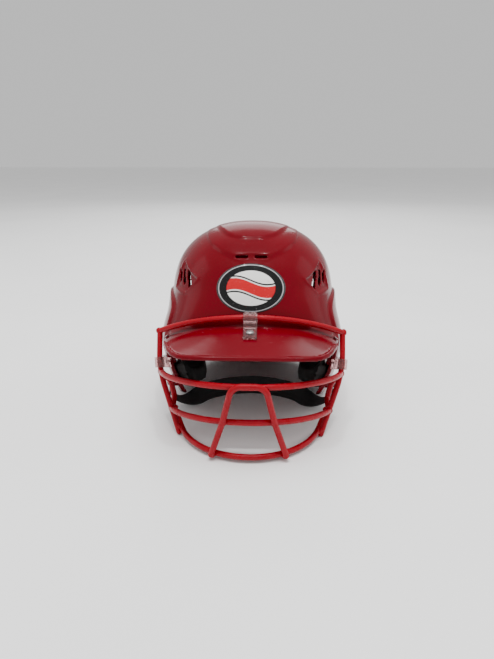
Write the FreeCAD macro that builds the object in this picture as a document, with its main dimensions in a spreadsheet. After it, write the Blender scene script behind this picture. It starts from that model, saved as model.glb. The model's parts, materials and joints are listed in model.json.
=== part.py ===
import FreeCAD, Part
import math
import os
from FreeCAD import Placement, Rotation, Vector

# Batting helmet with a wire face guard, clip hardware, padding and a chin strap on press studs.
#
# Worn frame: X to the wearer's left, -Y to the front, +Z up, origin at the centre of the head.
# Every piece is built in the worn frame and then given one shared rest placement, because the
# helmet stands on the feet of its guard and on its rear rim, tilted back.

doc = FreeCAD.newDocument("batting_helmet")

# ------------------------------------------------------------------ driving dimensions (mm, deg)
DIMENSIONS = [
    ("shell_wall", 3.5, "wall of the moulded shell"),
    ("crown_height", 146, "top of the dome above the head centre"),
    ("dome_half_width", 107, "half the width of the plain dome"),
    ("dome_front", 136, "dome front ahead of the widest section"),
    ("dome_rear", 112, "dome rear behind the widest section"),
    ("widest_section", 8, "Y of the widest section"),
    ("flare", 6, "how far the lower side flares out"),
    ("panel_step", 3.5, "how far the ear panels stand proud"),
    ("crest_step", 2.0, "height of each crest step"),
    ("bill_front", 185, "bill edge ahead of the head centre"),
    ("bill_edge_drop", 17, "bill edge below the head centre"),
    ("bill_slope", 30, "slope of the bill along its middle, degrees"),
    ("wire_diameter", 6.6, "coated guard wire"),
    ("clip_width", 15, "centre clip across the bill"),
    ("clip_wall", 2.6, "wall of the clear clips"),
    ("screw_head_radius", 4.0, "clip screw head"),
    ("screw_head_height", 2.2, "clip screw head"),
    ("screw_shank_radius", 2.0, "clip screw shank"),
    ("nut_flange_radius", 7.0, "flange of the T-nut behind each clip screw"),
    ("nut_flange_height", 1.2, "flange of the T-nut"),
    ("nut_barrel_radius", 3.2, "barrel of the T-nut"),
    ("nut_barrel_height", 4.0, "barrel of the T-nut"),
    ("stud_radius", 2.5, "strap snap stud"),
    ("snap_play", 0.05, "running clearance of the snap cap on its stud"),
    ("snap_cap_radius", 6.5, "snap cap on the strap"),
    ("strap_width", 25, "chin strap webbing"),
    ("strap_thickness", 2.0, "chin strap webbing"),
    ("rest_tilt", 15.5, "backward tilt when it stands on a table, degrees"),
]
sheet = doc.addObject("Spreadsheet::Sheet", "dims")
for row, (alias, value, meaning) in enumerate(DIMENSIONS, start=1):
    sheet.set(f"A{row}", alias)
    sheet.set(f"B{row}", str(value))
    sheet.set(f"C{row}", meaning)
    sheet.setAlias(f"B{row}", alias)
doc.recompute()


def dim(alias):
    """Value of one driving dimension."""
    return float(getattr(sheet, alias))


WALL = dim("shell_wall")
TOP = dim("crown_height")
WIRE_R = dim("wire_diameter") / 2
CENTRE_Y = dim("widest_section")
PAD_GAP = 0.6
EAR_HOLE = (-14, -34)
SIDES = {"left": -1, "right": 1}


# ------------------------------------------------------------------ small helpers
def clamp(value, low=0.0, high=1.0):
    return max(low, min(high, value))


def smooth(value):
    """Smooth step from 0 to 1."""
    t = clamp(value)
    return t * t * (3 - 2 * t)


def feature(name, shape):
    """A named document object that carries a finished shape."""
    obj = doc.addObject("Part::Feature", name)
    obj.Label = name
    obj.Shape = shape
    return obj


def solid_of(shape):
    """The one solid in a boolean's result, cleaned of split faces."""
    clean = shape.removeSplitter()
    solids = sorted(clean.Solids, key=lambda s: s.Volume)
    return solids[-1]


def prism_x(outline_yz, half_length=200):
    """Prism along X over an outline of straight edges and curves given in the Y-Z plane."""
    face = Part.Face(Part.Wire(outline_yz))
    face.translate(Vector(-half_length, 0, 0))
    return face.extrude(Vector(2 * half_length, 0, 0))


def yz(y, z):
    return Vector(0, y, z)


def line(a, b):
    return Part.LineSegment(a, b).toShape()


def curve_through(points):
    spline = Part.BSplineCurve()
    spline.interpolate(points)
    return spline.toShape()


# ------------------------------------------------------------------ the head-shaped form
def half_width(z):
    crown = math.sqrt(1 - (max(z, 0) / TOP) ** 4)
    flare = dim("flare") * smooth((35 - z) / 40)
    tuck = 15 * clamp((-5 - z) / 71, 0, 2) ** 1.5
    return dim("dome_half_width") * crown + flare - tuck


def length_factor(z):
    return math.sqrt(1 - (max(z, 0) / TOP) ** 3)


def front_length(z):
    return dim("dome_front") * length_factor(z)


def rear_length(z):
    nape_tuck = 15 * clamp(-z / 52, 0, 2) ** 1.3
    return dim("dome_rear") * length_factor(z) - nape_tuck


def squareness(z):
    """Superellipse exponent of the horizontal section: squarer at the brow, round at the jaw."""
    brow = 0.8 * smooth((60 - z) / 60)
    jaw = 1.35 * clamp(-z / 76, 0, 1.1) ** 2.2
    return 2.3 + brow - jaw


def form_point(angle, z, inset=0.0):
    """Point of the head form; angle 0 is +X, 90 the rear, -90 the front (degrees)."""
    cos_a = math.cos(math.radians(angle))
    sin_a = math.sin(math.radians(angle))
    across = max(half_width(z) - inset, 0.01)
    along = front_length(z) if sin_a < 0 else rear_length(z)
    along = max(along - inset, 0.01)
    power = squareness(z)
    radius = (abs(cos_a / across) ** power + abs(sin_a / along) ** power) ** (-1 / power)
    return Vector(radius * cos_a, CENTRE_Y + radius * sin_a, z)


def form_solid(inset=0.0, side_step=0.0):
    """Closed solid of the head form, from the crown down to below the flaps."""
    columns = 36
    dome_rows = 11
    skirt_step = 14
    skirt_rows = 7
    spread = 3 / (2 + math.cos(2 * math.pi / columns))
    levels = [TOP * (1 - (i / dome_rows) ** 2) for i in range(1, dome_rows)]
    levels += [-skirt_step * i for i in range(skirt_rows + 1)]
    apex = Vector(0, CENTRE_Y, TOP - inset)
    poles = [[apex] * columns]
    for row, z in enumerate(levels):
        ring = []
        for i in range(columns):
            p = form_point(360 * i / columns, z, inset - side_step)
            height = z - inset * clamp(z / TOP) ** 2
            if row == 0:
                height = apex.z
            ring.append(Vector(p.x * spread, CENTRE_Y + (p.y - CENTRE_Y) * spread, height))
        poles.append(ring)
    rows = len(poles)
    knots_v = list(range(rows - 2))
    mults_v = [4] + [1] * (rows - 4) + [4]
    knots_u = list(range(columns + 1))
    by_column = [[poles[r][c] for r in range(rows)] for c in range(columns)]
    surface = Part.BSplineSurface()
    surface.buildFromPolesMultsKnots(
        by_column, [1] * (columns + 1), mults_v, knots_u, knots_v, True, False, 3, 3
    )
    skin = surface.toShape()
    low_edge = max((e for e in skin.Edges if not e.Degenerated), key=lambda e: e.Length)
    cap = Part.Face(Part.Wire([low_edge]))
    sewn = Part.makeCompound([skin, cap])
    sewn.sewShape()
    solid = Part.Solid(Part.Shell(sewn.Faces))
    if solid.Volume < 0:
        solid.reverse()
    return solid


OUTER_FORM = form_solid()
INNER_FORM = form_solid(inset=WALL)
MIDDLE_FORM = form_solid(inset=WALL * 0.4)


# ------------------------------------------------------------------ shell
def rim_outline():
    """Everything below the rim of the shell, seen from the side."""
    brow_z = 3
    corner = yz(-93, brow_z)
    flap_front = curve_through([
        corner, yz(-88, -8), yz(-86.5, -40), yz(-80, -60), yz(-65, -74), yz(-40, -80),
        yz(-10, -76), yz(14, -66), yz(34, -50), yz(62, -43), yz(90, -48), yz(112, -53),
    ])
    rear = yz(160, -53)
    low_rear = yz(160, -140)
    low_front = yz(-220, -140)
    high_front = yz(-220, brow_z)
    return [
        line(high_front, corner), flap_front, line(yz(112, -53), rear), line(rear, low_rear),
        line(low_rear, low_front), line(low_front, high_front),
    ]


def panel_outline(margin=0.0):
    """Side view of the raised ear panel, from its step down past the rim."""
    step_line = [(-88, -2), (-86, 22), (-72, 40), (-30, 56), (10, 58), (40, 44), (52, 10), (50, -60)]
    middle_y = -18
    points = []
    for y, z in step_line:
        inward = -margin if y > middle_y else margin
        points.append(yz(y + inward, z - margin))
    low = -110
    front = -120
    first, last = points[0], points[-1]
    return [curve_through(points), line(last, yz(last.y, low)), line(yz(last.y, low), yz(front, low)),
            line(yz(front, low), yz(front, first.z)), line(yz(front, first.z), first)]


def bill_height(x, y):
    """Top of the bill: steep in the middle, nearly level along its sides."""
    side = (x / 100) ** 2
    slope = math.tan(math.radians(dim("bill_slope"))) * (1 - side) + 0.16 * side
    return -dim("bill_edge_drop") + slope * (y + dim("bill_front"))


def bill_sheet(lift):
    points = []
    for i in range(9):
        x = -120 + 30 * i
        points.append([Vector(x, y, bill_height(x, y) + lift) for y in (-200, -165, -130, -95, -60)])
    surface = Part.BSplineSurface()
    surface.interpolate(points)
    return surface.toShape()


def slab_between(lower, upper):
    """Solid between two four-sided sheets whose edges run the same way."""
    walls = []
    for low_edge in lower.Edges:
        middle = low_edge.CenterOfMass
        high_edge = min(upper.Edges, key=lambda e: e.CenterOfMass.distanceToPoint(middle))
        walls.append(Part.makeRuledSurface(low_edge, high_edge))
    skin = Part.makeCompound([lower, upper] + walls)
    skin.sewShape()
    solid = Part.Solid(Part.Shell(skin.Faces))
    if solid.Volume < 0:
        solid.reverse()
    return solid


def bill_plan(margin=0.0):
    """Plan outline of the bill, as a prism along Z."""
    front = -dim("bill_front") - margin
    low = -60
    right = [Vector(104 + margin, -80, low), Vector(98 + margin, -128, low),
             Vector(92 + margin, -150, low), Vector(86.5 + margin, -165 - 0.5 * margin, low),
             Vector(78 + 0.7 * margin, -177 - 0.7 * margin, low), Vector(62, front + 1.6, low)]
    left = [Vector(-p.x, p.y, low) for p in reversed(right)]
    edge = curve_through(right + [Vector(0, front, low)] + left)
    back = line(left[-1], right[0])
    return Part.Face(Part.Wire([edge, back])).extrude(Vector(0, 0, 140))


def make_bill():
    plate = slab_between(bill_sheet(-WALL), bill_sheet(0)).common(bill_plan())
    bead_height = 1.2
    bead_width = 4
    bead = slab_between(bill_sheet(-WALL), bill_sheet(bead_height)).common(bill_plan())
    bead = bead.cut(bill_plan(-bead_width))
    behind_side_edges = Part.makeBox(300, 80, 200, Vector(-150, -132, -100))
    bead = bead.cut(behind_side_edges)
    return plate.fuse(bead).cut(MIDDLE_FORM)


def crest_plan(right_edge):
    """Plan prism of a crest plate from its right-hand edge, front to rear, mirrored to the left."""
    low = 60
    right = [Vector(x, y, low) for x, y in right_edge]
    left = [Vector(-p.x, p.y, low) for p in reversed(right)]
    edge = curve_through(left + right[1:])
    back = line(right[-1], left[0])
    return Part.Face(Part.Wire([edge, back])).extrude(Vector(0, 0, 120))


CREST_LOWER = [(0, -111), (16, -112), (39, -99), (53, -75), (57, -30), (51, 40), (34, 92)]
CREST_UPPER = [(0, -95.5), (14, -94), (31, -82), (43, -50), (46, -10), (40, 40), (26, 78)]


def vent_slot(side, y, z, length, width, lean):
    """Cutter for one slanted vent slot; lean tips its upper end to the rear (degrees)."""
    angle = angle_for(y, z)
    surface_point = form_point(angle, z)
    outward = Vector(surface_point.x, surface_point.y - CENTRE_Y, 0).normalize()
    box = Part.makeBox(60, width, length, Vector(-30, -width / 2, -length / 2))
    box = box.makeFillet(width * 0.45, [e for e in box.Edges if abs(e.tangentAt(0).x) > 0.9])
    box.rotate(Vector(0, 0, 0), Vector(1, 0, 0), lean)
    box.rotate(Vector(0, 0, 0), Vector(0, 0, 1), math.degrees(math.atan2(outward.y, outward.x)))
    box.translate(surface_point)
    return box if side > 0 else box.mirror(Vector(0, 0, 0), Vector(1, 0, 0))


def angle_for(y, z):
    """Angle on the +X side at which the form passes a given Y at height Z."""
    low, high = -89.9, 89.9
    for _ in range(40):
        middle = (low + high) / 2
        if form_point(middle, z).y < y:
            low = middle
        else:
            high = middle
    return (low + high) / 2


def surface_x(y, z):
    """Distance of the form's side from the middle plane at a given Y and Z."""
    return form_point(angle_for(y, z), z).x


def side_normal(y, z):
    """Outward direction of the form's +X side at a given Y and Z."""
    step = 2
    along_y = Vector(surface_x(y + step, z) - surface_x(y - step, z), 2 * step, 0)
    along_z = Vector(surface_x(y, z + step) - surface_x(y, z - step), 0, 2 * step)
    return along_y.cross(along_z).normalize()


def vent_cutters():
    cutters = []
    for side in SIDES.values():
        for i in range(3):
            cutters.append(vent_slot(side, -90 + 11 * i, 66 + 3 * i, 24 - 4 * i, 4.5, 22))
            cutters.append(vent_slot(side, 62 + 11 * i, 66 - 3 * i, 26 - 4 * i, 4.5, -22))
    for x in (-12, 12):
        for y, z in ((-108, 90), (92, 84)):
            slot = Part.makeBox(16, 40, 4.5, Vector(x - 8, y - 20, z - 2))
            cutters.append(slot)
    return cutters


def ear_hole_cutter(margin=0.0):
    """Oval sound hole through both flaps."""
    y, z = EAR_HOLE
    half_length = 17 + margin
    half_height = 11 + margin
    ellipse = Part.Ellipse(Vector(0, 0, 0), half_length, half_height)
    face = Part.Face(Part.Wire([ellipse.toShape()]))
    face.rotate(Vector(0, 0, 0), Vector(1, 1, 1), 120)
    face.translate(Vector(-200, y, z))
    return face.extrude(Vector(400, 0, 0))


def make_outer_shell():
    lap = 4
    inner_lap = 0.2
    plain = OUTER_FORM.cut(INNER_FORM).cut(prism_x(panel_outline(lap)))
    panel_outer = form_solid(side_step=dim("panel_step"))
    panel_inner = form_solid(inset=WALL + inner_lap, side_step=dim("panel_step"))
    body = plain.fuse(panel_outer.cut(panel_inner).common(prism_x(panel_outline())))
    for level, edge in enumerate([CREST_LOWER, CREST_UPPER], start=1):
        raised = form_solid(inset=-dim("crest_step") * level).cut(MIDDLE_FORM)
        body = body.fuse(raised.common(crest_plan(edge)))
    body = body.cut(prism_x(rim_outline()))
    body = body.fuse(make_bill())
    body = body.cut(Part.makeCompound(vent_cutters()))
    body = body.cut(ear_hole_cutter())
    body = body.fuse(shell_seats())
    body = body.cut(Part.makeCompound(shell_ways()))
    return feature("outer_shell", solid_of(body))


# ------------------------------------------------------------------ guard wires
TOP_BAR_CENTRE = Vector(0, -135, 22.5)
EYE_END = Vector(104.5, -108, -42)
MID_END = Vector(91, -114, -84)
UPRIGHT_BEND = 110
UPRIGHT_POINTS = [Vector(106, -105, 5), Vector(106.5, -107, -40), Vector(81.5, -118.5, -110.5)]


def mirrored(point):
    return Vector(-point.x, point.y, point.z)


def sided(point, side):
    """The point, or its mirror image when side is -1."""
    return Vector(side * point.x, point.y, point.z)


def corner_arc(corner, before, after, setback):
    """Arc tangent to two runs that meet at a corner, starting one setback before it."""
    back = (before - corner).normalize()
    ahead = (after - corner).normalize()
    half_turn = (math.pi - back.getAngle(ahead)) / 2
    radius = setback / math.tan(half_turn)
    middle = corner + (back + ahead).normalize() * (radius / math.cos(half_turn) - radius)
    return Part.Arc(corner + back * setback, middle, corner + ahead * setback).toShape()


def rounded_path(points, radii):
    """Straight runs joined by tangent arcs."""
    edges = []
    start = points[0]
    for i, radius in enumerate(radii, start=1):
        before, corner, after = points[i - 1:i + 2]
        half_turn = (math.pi - (before - corner).getAngle(after - corner)) / 2
        arc = corner_arc(corner, before, after, radius * math.tan(half_turn))
        edges.append(line(start, arc.Vertexes[0].Point))
        edges.append(arc)
        start = arc.Vertexes[-1].Point
    edges.append(line(start, points[-1]))
    return edges


def arc_path(end, middle):
    return [Part.Arc(mirrored(end), middle, end).toShape()]


def chin_path():
    """U-shaped chin bar: a bow in front and a short leg up behind each upright."""
    end = Vector(76, -122, -108)
    middle = Vector(0, -171, -122)
    leg_top = Vector(88, -109.5, -86)
    bow = Part.Arc(mirrored(end), middle, end)
    tangent = bow.tangent(bow.LastParameter)[0]
    setback = 7
    corner = end + tangent * setback
    turn = corner_arc(corner, end, leg_top, setback)
    leg = line(turn.Vertexes[-1].Point, leg_top)
    right = [turn, leg]
    left = [edge.mirror(Vector(0, 0, 0), Vector(1, 0, 0)) for edge in reversed(right)]
    return left + [bow.toShape()] + right


def nose_path():
    foot = Vector(39.5, -168.5, -120.5)
    knee = Vector(27, -179.2, -84)
    shoulder = Vector(17, -191.2, -44)
    half = [foot, knee, shoulder]
    points = [mirrored(p) for p in half] + half[::-1]
    return rounded_path(points, [60, 13, 13, 60])


def side_loop_path(side):
    points = [Vector(104, -106, -43), Vector(96, -91, -57), Vector(91.5, -91, -74), Vector(90.5, -112, -86)]
    return rounded_path([sided(p, side) for p in points], [9, 9])


def wire_piece(name, edges):
    """Coated wire with rounded ends, swept along straight runs and arcs."""
    path = Part.Wire(Part.__sortEdges__(edges))
    spine = doc.addObject("Part::Feature", name + "_path")
    spine.Shape = path
    first = path.OrderedEdges[0]
    forward = first.Orientation == "Forward"
    at = first.FirstParameter if forward else first.LastParameter
    tangent = first.tangentAt(at)
    section = doc.addObject("Part::Circle", name + "_section")
    section.setExpression("Radius", "dims.wire_diameter / 2")
    section.Placement = Placement(first.valueAt(at), Rotation(Vector(0, 0, 1), tangent))
    sweep = doc.addObject("Part::Sweep", name + "_sweep")
    sweep.Sections = [section]
    sweep.Spine = (spine, [f"Edge{i + 1}" for i in range(len(path.Edges))])
    sweep.Solid = True
    balls = []
    for suffix, vertex in (("start", path.OrderedVertexes[0]), ("end", path.OrderedVertexes[-1])):
        ball = doc.addObject("Part::Sphere", f"{name}_{suffix}")
        ball.setExpression("Radius", "dims.wire_diameter / 2")
        ball.Placement = Placement(vertex.Point, Rotation(Vector(0, 0, 1), 37))
        balls.append(ball)
    fuse = doc.addObject("Part::MultiFuse", name)
    fuse.Shapes = [sweep] + balls
    fuse.Label = name
    return fuse


def make_guard():
    pieces = [
        wire_piece("top_bar", arc_path(Vector(106, -105, 5), TOP_BAR_CENTRE)),
        wire_piece("eye_bar", arc_path(EYE_END, Vector(0, -186, -45.5))),
        wire_piece("mid_bar", arc_path(MID_END, Vector(0, -176.5, -84))),
        wire_piece("chin_bar", chin_path()),
        wire_piece("nose_arch", nose_path()),
    ]
    for label, side in SIDES.items():
        upright = [sided(p, side) for p in UPRIGHT_POINTS]
        pieces.append(wire_piece(label + "_upright", rounded_path(upright, [UPRIGHT_BEND])))
        pieces.append(wire_piece(label + "_side_loop", side_loop_path(side)))
    return pieces


# ------------------------------------------------------------------ turned hardware and clips
def cylinder(name, radius, height, placement):
    """Part::Cylinder whose radius and height are cell names, formulas or numbers."""
    obj = doc.addObject("Part::Cylinder", name)
    obj.setExpression("Radius", str(radius))
    obj.setExpression("Height", str(height))
    obj.Placement = placement
    return obj


def fused(name, parts):
    obj = doc.addObject("Part::MultiFuse", name)
    obj.Shapes = parts
    obj.Label = name
    return obj


def cut(name, base, tool):
    obj = doc.addObject("Part::Cut", name)
    obj.Base = base
    obj.Tool = tool
    obj.Label = name
    return obj


def along(origin, direction, distance):
    """Placement on a line, its Z axis pointing along the line."""
    unit = Vector(direction).normalize()
    return Placement(origin + unit * distance, Rotation(Vector(0, 0, 1), unit))


CLIP_SCREW_Y = -147
BILL_TILT = Rotation(Vector(1, 0, 0), dim("bill_slope"))
BILL_NORMAL = BILL_TILT.multVec(Vector(0, 0, 1))
CLIP_SCREW_SEAT = Vector(0, CLIP_SCREW_Y, bill_height(0, CLIP_SCREW_Y))
CLIP_GAP = 0.1
SIDE_CLIP_Z = -31.5
SIDE_SPOT = (-77, SIDE_CLIP_Z)
SIDE_OUT = side_normal(*SIDE_SPOT)
SIDE_SEAT = Vector(surface_x(*SIDE_SPOT), *SIDE_SPOT) + SIDE_OUT * (dim("panel_step") + 0.5)
SIDE_BOSS = dim("panel_step") + 0.5 + 5.5
SNAP = (-66, -60)
SNAP_INNER_X = surface_x(*SNAP) - 3
SNAP_BOSS = dim("panel_step") + 3.6 + 3
SNAP_SEAT_X = SNAP_INNER_X + SNAP_BOSS


def clip_screw(name, seat, outward, grip):
    """Pan-head screw with a drive recess; seat is the point under its head, grip the wall it holds."""
    head = cylinder(name + "_head", "dims.screw_head_radius", "dims.screw_head_height",
                    along(seat, outward, 0))
    depth = grip + dim("nut_barrel_height") - 1
    shank_length = f"{grip:.2f} + dims.nut_barrel_height - 1"
    shank = cylinder(name + "_shank", "dims.screw_shank_radius", shank_length, along(seat, outward, -depth))
    solid = fused(name + "_solid", [head, shank])
    recess = cylinder(name + "_recess", "dims.screw_shank_radius * 0.7", "dims.screw_head_height",
                      along(seat, outward, dim("screw_head_height") * 0.4))
    return cut(name, solid, recess)


def t_nut(name, seat, outward):
    """T-nut whose flange lies on the inner face of the wall and whose barrel stands inwards."""
    flange = cylinder(name + "_flange", "dims.nut_flange_radius", "dims.nut_flange_height",
                      along(seat, outward, -dim("nut_flange_height")))
    depth = dim("nut_flange_height") + dim("nut_barrel_height")
    barrel = cylinder(name + "_barrel", "dims.nut_barrel_radius", "dims.nut_barrel_height",
                      along(seat, outward, -depth))
    solid = fused(name + "_solid", [flange, barrel])
    bore = cylinder(name + "_bore", "dims.screw_shank_radius + 0.05", "20", along(seat, outward, -depth - 1))
    return cut(name, solid, bore)


def make_centre_clip():
    """Clear clip: a loop round the top bar and a tongue screwed to the bill."""
    tongue_front = 10
    tongue_back = 16
    tongue = doc.addObject("Part::Box", "centre_clip_tongue")
    tongue.setExpression("Length", "dims.clip_width")
    tongue.Width = tongue_front + tongue_back
    tongue.setExpression("Height", "dims.clip_wall")
    corner = Vector(-dim("clip_width") / 2, -tongue_front, CLIP_GAP)
    tongue.Placement = Placement(CLIP_SCREW_SEAT + BILL_TILT.multVec(corner), BILL_TILT)
    across = Vector(1, 0, 0)
    loop = cylinder("centre_clip_loop", "dims.wire_diameter / 2 + dims.clip_wall", "dims.clip_width",
                    along(TOP_BAR_CENTRE, across, -dim("clip_width") / 2))
    web = doc.addObject("Part::Box", "centre_clip_web")
    web.setExpression("Length", "dims.clip_width")
    web.Width = 7
    web.Height = 11
    web.Placement = Placement(Vector(-dim("clip_width") / 2, -141, 12.7), Rotation())
    bar_way = cylinder("centre_clip_bar_way", "dims.wire_diameter / 2 + 0.25", "dims.clip_width + 10",
                       along(TOP_BAR_CENTRE, across, -dim("clip_width") / 2 - 5))
    screw_way = cylinder("centre_clip_screw_way", "dims.screw_shank_radius + 0.1", "40",
                         along(CLIP_SCREW_SEAT, BILL_NORMAL, -20))
    return cut("centre_clip", fused("centre_clip_solid", [tongue, loop, web]),
               fused("centre_clip_ways", [bar_way, screw_way]))


def upright_at(z):
    """Point and direction of the +X upright's axis at a given height."""
    points = []
    for edge in rounded_path(UPRIGHT_POINTS, [UPRIGHT_BEND]):
        points += edge.discretize(40)
    points.sort(key=lambda p: p.z)
    above = next(i for i, p in enumerate(points) if p.z > z)
    low, high = points[above - 1], points[above]
    return low + (high - low) * ((z - low.z) / (high.z - low.z)), (high - low).normalize()


def strip_between(name, start, end, flat_way, height, overrun):
    """Flat bar of clip wall from one point past another; flat_way is across its thickness."""
    wall = dim("clip_wall")
    run = end - start
    ahead = Vector(run).normalize()
    across = (flat_way - ahead * flat_way.dot(ahead)).normalize()
    upward = across.cross(ahead)
    bar = doc.addObject("Part::Box", name)
    bar.setExpression("Length", "dims.clip_wall")
    bar.Width = run.Length + overrun
    bar.Height = height
    turn = Rotation(across, ahead, upward, "XYZ")
    bar.Placement = Placement(start - across * (wall / 2) - upward * (height / 2), turn)
    return bar


def make_side_clip(label, side):
    """Clear clip: a loop round the upright, a short web and a plate screwed to the ear flap."""
    name = label + "_side_clip"
    clip_height = 12
    plate_gap = 0.3
    across = sided(SIDE_OUT, side)
    bar_point, bar_way_up = upright_at(SIDE_CLIP_Z)
    loop_centre = sided(bar_point, side)
    loop_axis = sided(bar_way_up, side)
    seat = sided(SIDE_SEAT, side) + across * (dim("clip_wall") / 2 + plate_gap)
    level = Vector(0, 0, 1)
    forward = level.cross(across).normalize() * -side
    bend = seat + forward * 21
    plate = strip_between(name + "_plate", bend, seat, across, clip_height, 7)
    web = strip_between(name + "_web", loop_centre, bend, level.cross(bend - loop_centre), clip_height, 1)
    loop = cylinder(name + "_loop", "dims.wire_diameter / 2 + dims.clip_wall", str(clip_height),
                    along(loop_centre, loop_axis, -clip_height / 2))
    bar_way = cylinder(name + "_bar_way", "dims.wire_diameter / 2 + 0.4", "40",
                       along(loop_centre, loop_axis, -20))
    screw_way = cylinder(name + "_screw_way", "dims.screw_shank_radius + 0.1", "40",
                         along(seat, across, -20))
    return cut(name, fused(name + "_solid", [plate, web, loop]),
               fused(name + "_ways", [bar_way, screw_way]))


# ------------------------------------------------------------------ padding
def pad_patch(angles, levels, depth, side_step=0.0):
    """Pad between two insets of the head form; depth is a number or a function of Y and Z."""
    rows = 7
    columns = 5
    outer_inset = WALL + PAD_GAP - side_step
    sheets = []
    for face in ("outer", "inner"):
        grid = []
        for i in range(rows):
            angle = angles[0] + (angles[1] - angles[0]) * i / (rows - 1)
            column = []
            for j in range(columns):
                z = levels[0] + (levels[1] - levels[0]) * j / (columns - 1)
                inset = outer_inset
                if face == "inner":
                    base = form_point(angle, z)
                    inset += depth(base.y, z) if callable(depth) else depth
                column.append(form_point(angle, z, inset))
            grid.append(column)
        surface = Part.BSplineSurface()
        surface.interpolate(grid)
        sheets.append(surface.toShape())
    room = form_solid(inset=WALL + PAD_GAP, side_step=side_step)
    return slab_between(*sheets).common(room)


def jaw_depth(y, z):
    return 12 + 28 * smooth((y + 70) / 74)


def jaw_outline():
    edge = curve_through([yz(-82, -22), yz(-81.5, -40), yz(-75, -56), yz(-59, -67.5), yz(-37, -71.5),
                          yz(-8, -69), yz(14, -60), yz(27, -44), yz(26, -16)])
    return [edge, line(yz(26, -16), yz(-82, -22))]


def make_jaw_pad():
    """Thick pad in the +X flap, with room for the ear hole, the T-nut and the strap stud."""
    jaw = pad_patch((-66, 22), (-76, -12), jaw_depth, dim("panel_step"))
    jaw = jaw.common(prism_x(jaw_outline())).cut(ear_hole_cutter(5))
    jaw = jaw.cut(Part.makeCylinder(8.5, 18.5, SIDE_SEAT, -SIDE_OUT))
    stud_start = Vector(SNAP_SEAT_X, *SNAP)
    return jaw.cut(Part.makeCylinder(8, 19, stud_start, Vector(-1, 0, 0)))


def make_pads():
    pads = {
        "front_pad": pad_patch((-120, -60), (14, 56), 11),
        "rear_pad": pad_patch((56, 124), (-42, 18), 13),
    }
    crown = form_solid(inset=WALL + PAD_GAP).cut(form_solid(inset=WALL + 13))
    pads["crown_pad"] = crown.common(Part.makeCylinder(40, 200, Vector(0, 10, 60)))
    pairs = {"temple_pad": pad_patch((-44, 34), (16, 54), 12), "jaw_pad": make_jaw_pad()}
    for name, shape in pairs.items():
        pads["left_" + name] = shape.mirror(Vector(0, 0, 0), Vector(1, 0, 0))
        pads["right_" + name] = shape
    return [feature(name, solid_of(shape)) for name, shape in pads.items()]


# ------------------------------------------------------------------ chin strap
def table_height(y):
    """Height of the table under the helmet at a given Y, in the worn frame."""
    tilt = math.radians(dim("rest_tilt"))
    foot = UPRIGHT_POINTS[-1]
    return foot.z - WIRE_R / math.cos(tilt) + math.tan(tilt) * (y - foot.y)


def strap_sections():
    """Centre, width direction, thickness direction and width along the right half, from the snap."""
    tab_x = SNAP_SEAT_X + 2.7
    y, z = SNAP
    tilt = math.radians(dim("rest_tilt"))
    up = Vector(0, -math.sin(tilt), math.cos(tilt))
    down = Vector(0, 0, -1)
    side_on = Vector(1, 0, 0)
    lengthwise = Vector(0, 1, 0)
    stand = dim("strap_width") / 2 + 0.4

    def on_table(x, y):
        return Vector(x, y, table_height(y)) + up * stand

    return [
        (Vector(tab_x, y, z + 6), lengthwise, side_on, 8),
        (Vector(tab_x, y, z + 3), lengthwise, side_on, 12),
        (Vector(tab_x, y, z - 8), lengthwise, side_on, 13),
        (Vector(tab_x - 1, y + 1, z - 17), lengthwise, Vector(1, 0, -0.3), 17),
        (Vector(tab_x - 8, y + 4, z - 24), Vector(0.1, 1, 0.1), Vector(0.5, 0, -1), 21),
        (Vector(tab_x - 19, y + 11, z - 27), Vector(0.4, 1, 0.4), Vector(0, 0.2, -1), 24),
        (on_table(68, -44) + down * 1.5, Vector(0.3, 0.3, 1), Vector(0.5, 0.8, -0.5), 25),
        (on_table(56, -33), up, Vector(0.5, 0.85, 0), 25),
        (on_table(30, -20), up, Vector(0.35, 0.9, 0), 25),
        (on_table(0, -14), up, lengthwise, 25),
    ]


def strap_outline(centre, width_way, thick_way, width):
    across = Vector(width_way).normalize()
    thick = Vector(thick_way) - across * Vector(thick_way).dot(across)
    thick = thick.normalize() * (dim("strap_thickness") / 2)
    across = across * (width / 2)
    corners = [centre + across + thick, centre - across + thick, centre - across - thick,
               centre + across - thick]
    return Part.makePolygon(corners + corners[:1])


def make_strap():
    right = strap_sections()
    left = []
    for centre, width_way, thick_way, width in reversed(right[:-1]):
        left.append((mirrored(centre), mirrored(width_way), mirrored(thick_way), width))
    outlines = [strap_outline(*section) for section in right + left]
    spans = [Part.makeLoft([a, b], True, True) for a, b in zip(outlines, outlines[1:])]
    strap = spans[0].multiFuse(spans[1:])
    for side in SIDES.values():
        hole = Part.makeCylinder(3.7, 20, Vector(side * SNAP_SEAT_X - 10, *SNAP), Vector(1, 0, 0))
        strap = strap.cut(hole)
    return feature("chin_strap", solid_of(strap))


def make_snap_studs():
    """Both studs on the flaps: a flange on the flap's boss, a post, and a rivet through the wall."""
    parts = []
    for label, side in SIDES.items():
        out = Vector(side, 0, 0)
        seat = Vector(side * SNAP_SEAT_X, *SNAP)
        parts.append(cylinder(f"stud_flange_{label}", "5.5", "1.2", along(seat, out, 0.02)))
        parts.append(cylinder(f"stud_post_{label}", "dims.stud_radius", "6", along(seat, out, 0.5)))
        parts.append(cylinder(f"stud_rivet_{label}", "2", "12", along(seat, out, -11)))
    return fused("snap_studs", parts)


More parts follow.
